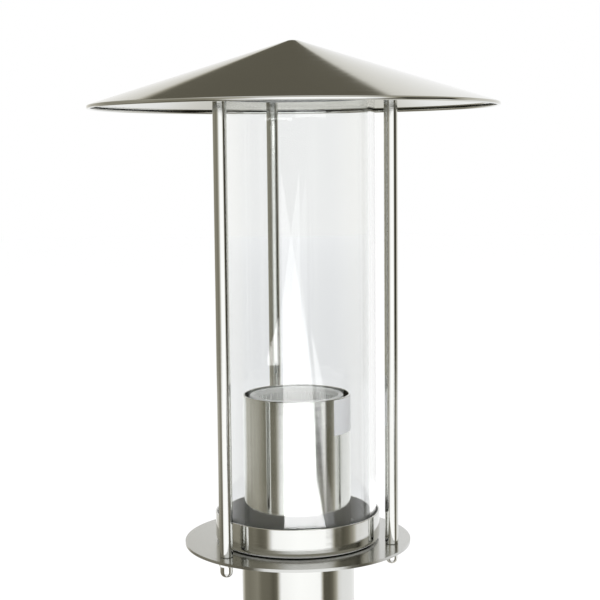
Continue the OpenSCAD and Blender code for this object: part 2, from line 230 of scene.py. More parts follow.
def noise_on(tree, stretch, detail=3.0, scale=1.0):
    """Noise over Object coordinates, stretched by one number for each axis."""
    place = add_node(tree, "ShaderNodeTexCoord")
    scaled = add_node(
        tree, "ShaderNodeVectorMath", {"operation": "MULTIPLY"}, i0=place.outputs["Object"]
    )
    scaled.inputs[1].default_value = stretch
    return add_node(
        tree, "ShaderNodeTexNoise", Vector=scaled.outputs[0], Scale=scale, Detail=detail
    ).outputs["Fac"]


def remap(tree, noise, low, high):
    """Noise, which seldom leaves its middle span, brought to the range low to high."""
    node = add_node(tree, "ShaderNodeMapRange", Value=noise)
    node.inputs["From Min"].default_value = NOISE_LOW
    node.inputs["From Max"].default_value = NOISE_HIGH
    node.inputs["To Min"].default_value = low
    node.inputs["To Max"].default_value = high
    return node.outputs["Result"]


# %% Brushed finishes
CLOUD_GRAIN = (18.0, 18.0, 18.0)
CLOUD_DARK, CLOUD_LIGHT = 0.95, 1.04
SCRATCH_HEIGHT = 0.2 * MM


def brushed_steel(name, stretch, rough, anisotropy, bump=0.05, tone=1.0):
    """Brushed stainless steel whose grain runs where the stretched noise is slow."""
    material, tree, shader = new_material(name)
    lines = noise_on(tree, stretch, detail=4.0)
    cloud = noise_on(tree, CLOUD_GRAIN, detail=2.0)
    shade = add_node(tree, "ShaderNodeMix", {"data_type": "RGBA"}, Factor=cloud)
    shade.inputs["A"].default_value = (*[c * CLOUD_DARK * tone for c in STEEL], 1)
    shade.inputs["B"].default_value = (*[c * CLOUD_LIGHT * tone for c in STEEL], 1)
    tree.links.new(shade.outputs["Result"], shader.inputs["Base Color"])
    tree.links.new(remap(tree, lines, *rough), shader.inputs["Roughness"])
    shader.inputs["Metallic"].default_value = 1.0
    shader.inputs["Anisotropic"].default_value = anisotropy
    if anisotropy:
        along_grain = {"direction_type": "UV_MAP", "uv_map": "grain"}
        tangent = add_node(tree, "ShaderNodeTangent", along_grain)
        tree.links.new(tangent.outputs[0], shader.inputs["Tangent"])
    ridge = add_node(tree, "ShaderNodeBump", Height=lines, Strength=bump, Distance=SCRATCH_HEIGHT)
    tree.links.new(ridge.outputs[0], shader.inputs["Normal"])
    return material


# Tubes and rods have rings of scratches, the hat fainter ones, the disc none that show
ring_grain = brushed_steel(
    "steel_ring_grain", (40.0, 40.0, 5200.0), rough=(0.045, 0.08), anisotropy=0.4
)
hat_grain = brushed_steel(
    "steel_spun_hat", (60.0, 60.0, 2500.0), rough=(0.05, 0.08), anisotropy=0.2, bump=0.01
)
disc_grain = brushed_steel(
    "steel_flat_disc", (900.0, 900.0, 900.0), rough=(0.15, 0.22), anisotropy=0.0, bump=0.02,
    tone=0.80,
)
print("brushed finishes:", ring_grain.name, hat_grain.name, disc_grain.name)

# %% [markdown]
# ## The other finishes
#
# The dome nuts are bright polished steel, the tray's inside is satin from the press, the
# bracket and its screws are zinc plated. The lampholder is white heat-proof plastic round
# a glazed porcelain block, its shell is brass, the seals are clear silicone rubber. A
# flat colour would make all of them look like paint. Each gets a base colour that drifts
# a little, a roughness that wanders, and a bump at the scale that the real surface shows.

# %% Plain finishes
GRAIN_HEIGHT = 0.3 * MM


def plain_finish(name, colour, rough, metallic=0.0, grain=300.0, bump=0.02, change=0.04):
    """A finish with slightly uneven colour, roughness and surface."""
    material, tree, shader = new_material(name)
    cloud = noise_on(tree, (grain / 8, grain / 8, grain / 8), detail=2.0)
    fine = noise_on(tree, (grain, grain, grain), detail=4.0)
    shade = add_node(tree, "ShaderNodeMix", {"data_type": "RGBA"}, Factor=cloud)
    shade.inputs["A"].default_value = (*[c * (1 - change) for c in colour], 1)
    shade.inputs["B"].default_value = (*[min(1, c * (1 + change)) for c in colour], 1)
    tree.links.new(shade.outputs["Result"], shader.inputs["Base Color"])
    tree.links.new(remap(tree, fine, *rough), shader.inputs["Roughness"])
    shader.inputs["Metallic"].default_value = metallic
    ridge = add_node(tree, "ShaderNodeBump", Height=fine, Strength=bump, Distance=GRAIN_HEIGHT)
    tree.links.new(ridge.outputs[0], shader.inputs["Normal"])
    return material, shader


polished, _ = plain_finish("steel_polished", (0.80, 0.80, 0.79), (0.06, 0.12), 1.0)
satin, _ = plain_finish("steel_pressed_satin", (0.84, 0.84, 0.82), (0.42, 0.55), 0.35)
zinc, _ = plain_finish("zinc_plated", (0.60, 0.61, 0.62), (0.30, 0.42), 1.0, grain=120.0)
brass, _ = plain_finish("bare_brass", (0.78, 0.60, 0.31), (0.20, 0.30), 1.0)

porcelain, glaze = plain_finish("glazed_porcelain", (0.84, 0.84, 0.81), (0.12, 0.2), grain=90.0)
glaze.inputs["Coat Weight"].default_value = 0.4
glaze.inputs["Coat Roughness"].default_value = 0.06

white_plastic, plastic = plain_finish(
    "white_plastic", (0.88, 0.89, 0.87), (0.32, 0.42), change=0.02
)
plastic.inputs["Subsurface Weight"].default_value = 0.15
plastic.inputs["Subsurface Radius"].default_value = (2 * MM, 2 * MM, 2 * MM)

black_rubber, _ = plain_finish("black_rubber", (0.03, 0.03, 0.03), (0.55, 0.7), bump=0.1)
label_film, _ = plain_finish("label_film", (0.90, 0.90, 0.92), (0.35, 0.45), change=0.01)
silicone, rubber = plain_finish("clear_silicone", (0.80, 0.81, 0.80), (0.35, 0.5))
rubber.inputs["Transmission Weight"].default_value = 0.35
rubber.inputs["IOR"].default_value = 1.41
plain = (polished, satin, zinc, brass, porcelain, white_plastic, black_rubber, label_film, silicone)
print("plain finishes:", ", ".join(material.name for material in plain))

# %% [markdown]
# ## Clear glass
#
# The cylinder is a real wall with two surfaces, so light bends going in and coming out,
# and its rims look darker, as in a drinking glass. A single sheet with some transparency
# would render faster but would lose those rims. Colour stays almost white: a 3 mm wall
# of clear glass hardly tints what is seen through it.

# %% Glass
def clear_glass():
    """Clear glass with the faintest draw lines along the cylinder."""
    material, tree, shader = new_material("clear_glass")
    waves = noise_on(tree, (14.0, 14.0, 4.0), detail=1.0)
    ridge = add_node(tree, "ShaderNodeBump", Height=waves, Strength=0.02, Distance=1 * MM)
    tree.links.new(ridge.outputs[0], shader.inputs["Normal"])
    shader.inputs["Roughness"].default_value = 0.0
    shader.inputs["Base Color"].default_value = (0.985, 0.992, 0.99, 1)
    shader.inputs["Transmission Weight"].default_value = 1.0
    shader.inputs["IOR"].default_value = 1.49
    return material


glass = clear_glass()
print("glass:", glass.name)

# %% [markdown]
# ## The hat
#
# The real hat is a disc of sheet spun over a cone. Its tip stays a little round, its edge
# is turned down into an upright band, and the raw edge is rolled in under it as a hem.
# A cone primitive has none of that, so the section is drawn whole, outside and inside,
# with arcs where the sheet bends. Turning it in many steps keeps the long reflections
# straight.

# %% Hat section
SHEET = 0.6 * MM
TIP_R = 12 * MM
BAND_BEND = 0.8 * MM
BAND_HEIGHT = 1.2 * MM
HEM_R = 0.8 * MM
HEM_LIP = 1.2 * MM
SLOPE = 17.6

hat_r = radius("hat_shell")
slope = math.radians(SLOPE)
bend_x = hat_r - BAND_BEND
sharp_tip = BAND_HEIGHT + bend_x * math.tan(slope) + BAND_BEND / math.cos(slope)
tip_z = hat_low + sharp_tip - TIP_R / math.cos(slope)
hem_x = hat_r - HEM_R
lip_x = hat_r - 2 * HEM_R

edge_bend = arc(bend_x, hat_low + BAND_HEIGHT, BAND_BEND, 0, 90 - SLOPE)
tip_out = arc(0, tip_z, TIP_R, 90 - SLOPE, 90, 10)
tip_in = arc(0, tip_z, TIP_R - SHEET, 90, 90 - SLOPE, 10)
inner_bend = arc(bend_x, hat_low + BAND_HEIGHT, BAND_BEND - SHEET, 90 - SLOPE, 0)
hem_in = arc(hem_x, hat_low + HEM_R, HEM_R - SHEET, 0, -180, 12)
hem_out = arc(hem_x, hat_low + HEM_R, HEM_R, -180, 0, 16)
hat_section = (
    edge_bend + straight(edge_bend[-1], tip_out[0], 12) + tip_out
    + tip_in + straight(tip_in[-1], inner_bend[0], 12) + inner_bend
    + hem_in + [(lip_x + SHEET, hat_low + HEM_LIP), (lip_x, hat_low + HEM_LIP)] + hem_out
)
hat_section = [(max(r, 0.0), z) for r, z in hat_section]
hat = turned("hat", hat_section, "hat", "brushed_steel", "hat_shell", segments=360, crease=40)
hat.data.materials.append(hat_grain)

# %% [markdown]
# ## Rods
#
# Each rod is ground bar with a shoulder and a thinner threaded end above and below. Both
# threads are out of sight until the hat is lifted off, and then only as fine ridges. A
# true helix would cost many faces and show nothing more, so the section itself carries
# one ridge for each turn of the thread.

# %% Rods
ROD_R = 3.5 * MM
STUD_R = 2.0 * MM
PITCH = 0.7 * MM
THREAD_DEPTH = 0.35 * MM
STUD_END = 0.5 * MM
ROD_CHAMFER = 0.35 * MM
ROD_SEAT_GAP = 0.02 * MM
CARRIER_SHEET = 1.5 * MM


def stud_ridges(z_from, z_to):
    """Ridges of a fine thread between two heights, as a section."""
    count = int(abs(z_to - z_from) / PITCH)
    step = (z_to - z_from) / count
    points = []
    for i in range(count):
        points.append((STUD_R - THREAD_DEPTH, z_from + step * (i + 0.1)))
        points.append((STUD_R, z_from + step * (i + 0.5)))
    return points + [(STUD_R - THREAD_DEPTH, z_to)]


def rod_section(low, shoulder_low, shoulder_top, top):
    """Stud, shoulder, rod, shoulder, stud, with small chamfers."""
    side_low, side_top = shoulder_low + ROD_CHAMFER, shoulder_top - ROD_CHAMFER
    return (
        [(0, low), (STUD_R - STUD_END, low)]
        + stud_ridges(low + STUD_END, shoulder_low)
        + [(ROD_R - ROD_CHAMFER, shoulder_low), (ROD_R, side_low)]
        + straight((ROD_R, side_low), (ROD_R, side_top), 8)
        + [(ROD_R, side_top), (ROD_R - ROD_CHAMFER, shoulder_top)]
        + stud_ridges(shoulder_top, top - STUD_END)
        + [(STUD_R - STUD_END, top), (0, top)]
    )


# The stud ends just above its nut, which sits on the plate that the rod's shoulder meets
nut_height = top_z("carrier_nut_1") - low_z("carrier_nut_1")
plate_low = top_z("rod_1") - STUD_END - nut_height - CARRIER_SHEET
for number in (1, 2, 3):
    node = f"rod_{number}"
    centre = middle(node)
    section = rod_section(low_z(node), disc_top + ROD_SEAT_GAP, plate_low, top_z(node))
    rod = turned(
        f"rod_{number}_ground", section, "hat", "brushed_steel", node,
        segments=64, at=(centre.x, centre.y), crease=35,
    )
    rod.data.materials.append(ring_grain)

# %% [markdown]
# ## Base disc, tray, socket tube and post
#
# The disc is cut from sheet, the tray is pressed with a rounded corner, and the tubes are
# drawn. The disc's three stud holes show when the hat is off. Booleans are the plain way
# to drill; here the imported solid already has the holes, so the disc keeps its mesh, and
# only the tray and the tubes are turned again, with more faces and rounded edges.

# %% Disc and tubes
EDGE = 0.25 * MM
FLOOR_HOLE = 6.0 * MM
TRAY_WALL, TRAY_CORNER = 1.0 * MM, 3.0 * MM
TUBE_WALL = 0.8 * MM
POST_WALL = 1.5 * MM


def wall_section(r_out, wall, low, top, edge=EDGE):
    """A tube's wall with slightly rounded rims."""
    r_in = r_out - wall
    return (
        arc(r_in + edge, low + edge, edge, 180, 270, 4)
        + arc(r_out - edge, low + edge, edge, 270, 360, 4)
        + straight((r_out, low + edge), (r_out, top - edge), 12)
        + arc(r_out - edge, top - edge, edge, 0, 90, 4)
        + arc(r_in + edge, top - edge, edge, 90, 180, 4)
        + straight((r_in, top - edge), (r_in, low + edge), 12)
    )


def tray_section():
    """Upright wall, round lower corner and flat floor, inside and outside."""
    r, wall, corner, hole = radius("tray"), TRAY_WALL, TRAY_CORNER, FLOOR_HOLE
    low, top = low_z("tray"), top_z("tray")
    return (
        [(hole, low)]
        + straight((hole, low), (r - corner, low), 3)
        + arc(r - corner, low + corner, corner, -90, 0, 10)
        + straight((r, low + corner), (r, top - EDGE), 6)
        + arc(r - EDGE, top - EDGE, EDGE, 0, 90, 4)
        + arc(r - wall + EDGE, top - EDGE, EDGE, 90, 180, 4)
        + straight((r - wall, top - EDGE), (r - wall, low + corner), 3)
        + arc(r - corner, low + corner, corner - wall, 0, -90, 8)
        + straight((r - corner, low + wall), (hole, low + wall), 3)
        + [(hole, low + wall)]
    )


def socket_tube_section():
    """The tube in the tray: a wall with a floor that the clamp screws hold."""
    r, wall, hole = radius("socket_tube"), TUBE_WALL, FLOOR_HOLE
    low, top = low_z("socket_tube"), top_z("socket_tube")
    return (
        [(hole, low)]
        + straight((hole, low), (r - EDGE, low), 3)
        + arc(r - EDGE, low + EDGE, EDGE, 270, 360, 4)
        + straight((r, low + EDGE), (r, top - EDGE), 12)
        + arc(r - EDGE, top - EDGE, EDGE, 0, 90, 4)
        + arc(r - wall + EDGE, top - EDGE, EDGE, 90, 180, 4)
        + straight((r - wall, top - EDGE), (r - wall, low + wall), 6)
        + [(r - wall, low + wall), (hole, low + wall)]
    )


for node in ("tray", "socket_tube", "post_tube"):
    print(f"{node}: {radius(node) / MM:.1f} mm in radius")

# %% Turn the tray, the tube and the post
tray = turned("tray_pressed", tray_section(), "stand", "brushed_steel", "tray", segments=256)
tube = turned(
    "socket_tube_drawn", socket_tube_section(), "stand", "brushed_steel", "socket_tube",
    segments=224,
)
post_section = wall_section(radius("post_tube"), POST_WALL, low_z("post_tube"), top_z("post_tube"))
post = turned("post_drawn", post_section, "stand", "brushed_steel", "post_tube", segments=224)
for piece in (tray, tube, post):
    piece.data.materials.append(ring_grain)

# %% [markdown]
# ## Satin inside of the tray
#
# Pressing leaves the tray's inside satin, and only the outside is brushed bright
# afterwards. The foot of the socket tube mirrors that inside as a soft grey crescent. It
# is one piece of sheet, so it stays one mesh, and its inner faces take a second material.

# %% Tray inside
WALL_MIDDLE = 0.6 * MM

tray.data.materials.append(satin)
inside_r, inside_low = radius("tray") - WALL_MIDDLE, low_z("tray") + WALL_MIDDLE
satin_faces = 0
for face in tray.data.polygons:
    if math.hypot(face.center.x, face.center.y) < inside_r and face.center.z > inside_low:
        face.material_index = 1
        satin_faces += 1
print("satin faces in the tray:", satin_faces)

# %% [markdown]
# ## Clear cylinder
#
# The cylinder is cut from drawn glass tube, and its ends are ground and melted smooth. A
# cylinder with Solidify would give the wall. The tube section used for the post gives it
# too, and rounds all four rims, which catch the light as bright rings.

# %% Clear cylinder
GLASS_WALL = 3.0 * MM
GLASS_EDGE = 0.8 * MM

cylinder_section = wall_section(
    radius("glass_cylinder"), GLASS_WALL, low_z("glass_cylinder"), top_z("glass_cylinder"),
    GLASS_EDGE,
)
cylinder = turned(
    "clear_cylinder", cylinder_section, "glass", "clear_glass", "glass_cylinder", segments=256
)
cylinder.data.materials.append(glass)

# %% [markdown]
# ## Lampholder sleeve
#
# The white sleeve has fine upright ribs inside, which keep the hot lamp's neck off the
# wall and stiffen it. They repeat round a circle, which is work for Geometry Nodes: one
# rib, one circle of points, one instance on each, all sizes as named inputs.

# %% A ring of copies
def ring_tree(name, material):
    """A node tree that sets copies of a bar round a circle, facing the axis."""
    tree = bpy.data.node_groups.new(name, "GeometryNodeTree")
    face = tree.interface
    for title, kind in (
        ("Count", "NodeSocketInt"), ("Circle radius", "NodeSocketFloat"),
        ("Bar depth", "NodeSocketFloat"), ("Bar width", "NodeSocketFloat"),
        ("Bar height", "NodeSocketFloat"), ("Low end", "NodeSocketFloat"),
    ):
        face.new_socket(title, in_out="INPUT", socket_type=kind)
    face.new_socket("Geometry", in_out="OUTPUT", socket_type="NodeSocketGeometry")
    given = tree.nodes.new("NodeGroupInput").outputs
    result = tree.nodes.new("NodeGroupOutput")
    circle = add_node(
        tree, "GeometryNodeMeshCircle", Vertices=given["Count"], Radius=given["Circle radius"]
    )
    size = add_node(
        tree, "ShaderNodeCombineXYZ",
        X=given["Bar depth"], Y=given["Bar width"], Z=given["Bar height"],
    )
    bar = add_node(tree, "GeometryNodeMeshCube", Size=size.outputs[0])
    place = add_node(tree, "GeometryNodeInputPosition")
    facing = add_node(
        tree, "FunctionNodeAlignRotationToVector", {"axis": "X"}, Vector=place.outputs[0]
    )
    copies = add_node(
        tree, "GeometryNodeInstanceOnPoints", Points=circle.outputs[0],
        Instance=bar.outputs[0], Rotation=facing.outputs[0],
    )
    half = add_node(tree, "ShaderNodeMath", {"operation": "MULTIPLY"}, i0=given["Bar height"])
    half.inputs[1].default_value = 0.5
    height = add_node(tree, "ShaderNodeMath", {"operation": "ADD"}, i0=given["Low end"])
    tree.links.new(half.outputs[0], height.inputs[1])
    lift = add_node(tree, "ShaderNodeCombineXYZ", Z=height.outputs[0])
    moved = add_node(
        tree, "GeometryNodeTransform", Geometry=copies.outputs[0], Translation=lift.outputs[0]
    )
    real = add_node(tree, "GeometryNodeRealizeInstances", Geometry=moved.outputs[0])
    done = add_node(tree, "GeometryNodeSetMaterial", Geometry=real.outputs[0], Material=material)
    tree.links.new(done.outputs[0], result.inputs[0])
    return tree


# %% Run a node tree once
def grow(name, tree, values, body, slot, *nodes):
    """Runs a node tree once with the given inputs and keeps the plain mesh."""
    holder = bpy.data.objects.new(name + "_maker", bpy.data.meshes.new(name))
    bpy.context.scene.collection.objects.link(holder)
    modifier = holder.modifiers.new("grow", "NODES")
    modifier.node_group = tree
    for socket in tree.interface.items_tree:
        if socket.in_out == "INPUT" and socket.name in values:
            modifier[socket.identifier] = values[socket.name]
    shown = bpy.context.evaluated_depsgraph_get()
    mesh = bpy.data.meshes.new_from_object(holder.evaluated_get(shown))
    mesh.name = name
    holder.modifiers.remove(modifier)
    bpy.data.objects.remove(holder)
    piece = add_object(name, mesh, body, slot, *nodes)
    print(f"{name}: {len(mesh.polygons)} faces from {tree.name}")
    return piece


# %% Sleeve and its ribs
RIB_COUNT = 60
RIB_DEPTH = 1.6 * MM
RIB_WIDTH = 0.9 * MM
RIB_STANDS_IN = 0.6 * MM
RIB_DROP = 2.5 * MM
SLEEVE_WALL = 2.9 * MM
SLEEVE_EDGE = 0.8 * MM

sleeve_r = radius("lampholder_sleeve")
sleeve_low, sleeve_top = low_z("lampholder_sleeve"), top_z("lampholder_sleeve")
sleeve_in = sleeve_r - SLEEVE_WALL
sleeve_section = (
    [(sleeve_in, sleeve_low), (sleeve_r, sleeve_low)]
    + straight((sleeve_r, sleeve_low), (sleeve_r, sleeve_top - SLEEVE_EDGE), 8)
    + arc(sleeve_r - SLEEVE_EDGE, sleeve_top - SLEEVE_EDGE, SLEEVE_EDGE, 0, 90)
    + arc(sleeve_in + SLEEVE_EDGE, sleeve_top - SLEEVE_EDGE, SLEEVE_EDGE, 90, 180)
    + straight((sleeve_in, sleeve_top - SLEEVE_EDGE), (sleeve_in, sleeve_low), 8)
)
sleeve = turned(
    "sleeve_moulded", sleeve_section, "stand", "white_plastic", "lampholder_sleeve", segments=224
)
sleeve.data.materials.append(white_plastic)
grow(
    "sleeve_ribs", ring_tree("ring_of_bars", white_plastic),
    {
        "Count": RIB_COUNT, "Circle radius": sleeve_in - RIB_STANDS_IN + RIB_DEPTH / 2,
        "Bar depth": RIB_DEPTH, "Bar width": RIB_WIDTH,
        "Bar height": sleeve_top - RIB_DROP - low_z("screw_shell"),
        "Low end": low_z("screw_shell"),
    },
    "stand", "white_plastic",
)

# %% [markdown]
# ## Screw shell
#
# The shell is thin brass with the round thread of a 27 mm lamp rolled into it, seven
# turns to the inch. A Screw modifier could climb, but would leave two ragged ends. Here
# a plain tube is drawn ring by ring, and a cosine moves each point in or out by its
# height and its angle together. One turn shifts the wave by one pitch, so the thread
# climbs while the mesh stays a closed tube, and the wave fades out at both ends.

# %% Rolled shell
SHELL_PITCH = 3.62 * MM
SHELL_WAVE = 0.55 * MM
SHELL_WALL = 0.4 * MM
SHELL_ROWS, SHELL_SEGMENTS = 84, 96
SHELL_INSET = 0.2 * SHELL_WAVE
FADE_RATE = 6


def rolled_shell():
    """A tube whose two walls follow the same climbing wave."""
    r_out = radius("screw_shell") - SHELL_INSET
    low, top = low_z("screw_shell"), top_z("screw_shell")
    rows, segments = SHELL_ROWS, SHELL_SEGMENTS
    bm = bmesh.new()
    walls = []
    for inset in (0.0, SHELL_WALL):
        wall = []
        for k in range(rows + 1):
            z = low + (top - low) * k / rows
            fade = min(1.0, FADE_RATE * k / rows, FADE_RATE * (rows - k) / rows)
            ring = []
            for i in range(segments):
                turn = i / segments
                phase = 2 * math.pi * (z / SHELL_PITCH - turn)
                r = r_out - inset - SHELL_WAVE * fade * (0.5 - 0.5 * math.cos(phase))
                angle = 2 * math.pi * turn
                ring.append(bm.verts.new((r * math.cos(angle), r * math.sin(angle), z)))
            wall.append(ring)
        walls.append(wall)
    outer, inner = walls
    loops = outer + inner[::-1]
    for k in range(len(loops)):
        here, after = loops[k], loops[(k + 1) % len(loops)]
        for i in range(segments):
            j = (i + 1) % segments
            bm.faces.new((here[i], here[j], after[j], after[i]))
    return finish_mesh(bm, "screw_shell_rolled", 50)


shell = add_object("screw_shell_rolled", rolled_shell(), "stand", "brass", "screw_shell")
shell.data.materials.append(brass)
print("shell faces:", len(shell.data.polygons))

# %% [markdown]
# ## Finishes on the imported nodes
#
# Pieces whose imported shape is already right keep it, and only get their finish. A table
# of node and material is easier to check than one line each.

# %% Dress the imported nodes
dress = {
    "floor_flange": disc_grain, "base_disc": disc_grain, "cable_grommet": black_rubber,
    "post_top_plate": zinc, "tray_seal": silicone, "rating_label": label_film,
    "lamp_bracket": zinc, "clamp_screw_1": zinc, "clamp_screw_2": zinc, "earth_screw": brass,
    "nipple": brass, "nipple_nut": brass, "lampholder_core": porcelain, "centre_contact": brass,
    "glass_cap_seal": silicone, "hat_carrier": disc_grain,
}
for number in (1, 2, 3):
    dress[f"carrier_nut_{number}"] = polished
    dress[f"cap_nut_{number}"] = polished
for node, material in dress.items():
    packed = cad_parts[node]
    packed.data.materials.clear()
    packed.data.materials.append(material)
print("dressed nodes:", len(dress))

# %% [markdown]
# ## Floor
#
# The floor of a product studio is a sheet of matt white paper, which also carries the
# object's shadow. Two of Light Path's numbers change it. Reflections don't see the plane
# at all, because the world below holds a better room for them. Behind glass its colour is
# darkened toward the object, a painted shade: such paper is lit less near the object, and
# the pale grey that this gives in the cylinder is much of what makes clear glass readable
# on a white ground.

# %% Floor
FLOOR_HALF = 6.0

floor_mesh = bpy.data.meshes.new("floor")
floor_mesh.from_pydata(
    [(-FLOOR_HALF, -FLOOR_HALF, 0), (FLOOR_HALF, -FLOOR_HALF, 0),
     (FLOOR_HALF, FLOOR_HALF, 0), (-FLOOR_HALF, FLOOR_HALF, 0)], [], [(0, 1, 2, 3)]
)
floor = bpy.data.objects.new("floor", floor_mesh)
bpy.context.scene.collection.objects.link(floor)
print(f"floor: {2 * FLOOR_HALF:.0f} m square")

# %% Floor paper
PAPER_TONE = 0.952
# Painted shade: seen through glass, the paper's colour falls to a cool grey near the object
PAINTED_SHADE_COOLNESS = (0.99, 0.995, 1.01)
NEAR, NEAR_PAINTED_SHADE = 1.2, 0.82


def floor_paper():
    """White paper that reflections don't see, with painted shade near the object behind glass."""
    material, tree, shader = new_material("floor_paper")
    shader.inputs["Roughness"].default_value = 0.9
    shader.inputs["Specular IOR Level"].default_value = 0.0
    path = add_node(tree, "ShaderNodeLightPath").outputs

    place = add_node(tree, "ShaderNodeTexCoord").outputs["Object"]
    distance = add_node(tree, "ShaderNodeVectorMath", {"operation": "LENGTH"}, i0=place)
    painted_shade_fall = add_node(tree, "ShaderNodeMapRange", Value=distance.outputs["Value"])
    for name, number in (
        ("From Min", NEAR), ("From Max", FLOOR_HALF), ("To Min", NEAR_PAINTED_SHADE), ("To Max", PAPER_TONE)
    ):
        painted_shade_fall.inputs[name].default_value = number
    # Painted shade, a colour that darkens toward the object, shown only through glass
    painted_shade_tone = add_node(
        tree, "ShaderNodeVectorMath", {"operation": "SCALE"}, i0=PAINTED_SHADE_COOLNESS,
        Scale=painted_shade_fall.outputs["Result"],
    )
    behind_glass = add_node(
        tree, "ShaderNodeMath", {"operation": "GREATER_THAN"},
        i0=path["Transmission Depth"], i1=0.5,
    )
    tone = add_node(tree, "ShaderNodeMix", {"data_type": "RGBA"}, Factor=behind_glass.outputs[0])
    tone.inputs["A"].default_value = (PAPER_TONE, PAPER_TONE, PAPER_TONE, 1)
    tree.links.new(painted_shade_tone.outputs["Vector"], tone.inputs["B"])
    tree.links.new(tone.outputs["Result"], shader.inputs["Base Color"])

    reflected = add_node(
        tree, "ShaderNodeMath", {"operation": "GREATER_THAN"}, i0=path["Glossy Depth"], i1=0.5
    )
    hidden = add_node(tree, "ShaderNodeBsdfTransparent")
    shown = add_node(
        tree, "ShaderNodeMixShader", i0=reflected.outputs[0], i1=shader.outputs[0],
        i2=hidden.outputs[0],
    )
    tree.links.new(shown.outputs[0], tree.nodes["Material Output"].inputs["Surface"])
    return material


floor.data.materials.append(floor_paper())
print("floor tone:", PAPER_TONE, "and behind glass, near the object:", NEAR_PAINTED_SHADE)

# %% [markdown]
# ## Studio
#
# Metal shows its room, so the room matters more than the lamps. A small product studio
# is white paper behind and at the right, bright sheets in front, and dark walls, stands
# and ceiling round the camera. Modelled paper and card would do it, but every piece of
# steel would need many more samples. The world holds that room as a smooth function of
# direction, seen only in reflections. Straight rays see plain white, and soft surfaces
# get an even light in which a colour looks as it is written.

# %% World helpers
world = bpy.data.worlds.new("studio")
bpy.context.scene.world = world
world.use_nodes = True
sky = world.node_tree
sky.nodes.clear()


def maths(operation, a, b=None):
    """One step of arithmetic in the world's tree, on sockets or plain numbers."""
    node = sky.nodes.new("ShaderNodeMath")
    node.operation = operation
    for socket, value in zip(node.inputs, (a, b)):
        if isinstance(value, bpy.types.NodeSocket):
            sky.links.new(value, socket)
        elif value is not None:
            socket.default_value = value
    return node.outputs[0]


def add(a, b):
    return maths("ADD", a, b)


def less(a, b):
    return maths("SUBTRACT", a, b)


def times(a, b):
    return maths("MULTIPLY", a, b)


def at_least_none(value):
    return maths("MAXIMUM", value, 0.0)


def step_up(value, edge, soft):
    """0 below the edge, 1 above it, with a soft change of the given width."""
    node = sky.nodes.new("ShaderNodeMapRange")
    node.interpolation_type = "SMOOTHSTEP"
    node.inputs["From Min"].default_value = -soft / 2
    node.inputs["From Max"].default_value = soft / 2
    sky.links.new(less(value, edge), node.inputs["Value"])
    return node.outputs["Result"]


def blend_levels(factor, low, high):
    """low where factor is 0 and high where it is 1."""
    linked = any(isinstance(level, bpy.types.NodeSocket) for level in (low, high))
    span = less(high, low) if linked else high - low
    return add(times(factor, span), low)


def made(part):
    print(f"{part}: {len(sky.nodes)} nodes in the world so far")


# %% Directions
TO_DEGREES = 180 / math.pi

direction = add_node(sky, "ShaderNodeTexCoord").outputs["Generated"]
parts = add_node(sky, "ShaderNodeSeparateXYZ", Vector=direction).outputs
turn = times(maths("ARCTAN2", parts["X"], times(parts["Y"], -1.0)), TO_DEGREES)
rise = times(maths("ARCSINE", parts["Z"]), TO_DEGREES)
behind = step_up(parts["Y"], 0.0, 0.2)
on_the_right = step_up(parts["X"], -0.02, 0.12)
made("directions")


def between(left, right, soft=0.8):
    """1 where a direction's turn lies between two borders, with soft edges."""
    return at_least_none(less(step_up(turn, left, soft), step_up(turn, right, soft)))


def drop_below(height):
    """How far a direction points below a height, and 0 above it."""
    return at_least_none(less(height, rise))


def leaning(drop, start, lean):
    """A border that leans: its turn at the top, and its change for one degree of drop."""
    return add(times(drop, lean), start)


# %% [markdown]
# ## Light levels round the room
#
# A turned tube squeezes the whole room into its width, so what it shows is a list of
# bright and dark bands. Each band here is a few points of level against direction, from
# the paper at the back round the left side to the sheets in front, and on round the
# right side to the back again. Three such rings serve the floor, the walls and the
# upper walls. They are tuned to the bands on the tubes, one at a time.

# %% Three rings of levels
# Turn in degrees from the camera's side, positive to the right, and the level there
FLOOR_LEVELS = [
    # Paper at the back, left wall, gap beside the sheets
    (-180, 1.05), (-165, 0.90), (-152, 0.62),
    (-138, 0.25), (-120, 0.23), (-104, 0.26), (-92, 0.29),
    (-80, 0.19), (-62, 0.17), (-52, 0.12), (-44, 0.16),
    # Front sheets, gap, paper at the right
    (-35, 1.30), (0, 1.42), (45, 1.38), (49, 0.75),
    (53, 0.11), (66, 0.11), (74, 0.16), (83, 0.42),
    (91, 0.92), (102, 1.02), (180, 1.03),
]
WALL_LEVELS = [
    # Paper at the back, left wall, gap with a stand in it
    (-180, 1.05), (-165, 1.05), (-152, 1.02), (-142, 0.94),
    (-133, 0.56), (-122, 0.51), (-110, 0.47), (-96, 0.52), (-84, 0.40),
    (-74, 0.28), (-68, 0.22), (-62, 0.40), (-55, 0.22), (-46, 0.24), (-38, 0.80),
    # Front sheets, gap, stand and paper at the right
    (-30, 1.38), (0, 1.42), (36, 1.40), (43, 1.30), (61, 1.00),
    (63, 0.14), (76, 0.16), (82, 0.32),
    (90, 0.92), (97, 0.52), (106, 0.75), (116, 1.00), (180, 1.05),
]
UPPER_LEVELS = [
    # Paper at the back, left wall, gap beside the sheets
    (-180, 1.05), (-165, 0.90), (-150, 0.60), (-135, 0.42),
    (-120, 0.30), (-90, 0.32), (-76, 0.26), (-60, 0.24), (-48, 0.28), (-38, 0.42), (-28, 0.65),
    # Front sheets, gap, right wall and paper
    (-18, 1.10), (-6, 1.40), (36, 1.42), (46, 1.10),
    (56, 0.25), (61, 0.04), (95, 0.04),
    (101, 0.38), (108, 0.62), (122, 0.74), (140, 0.80), (160, 0.95), (180, 1.05),
]
HIGHEST = 2.0


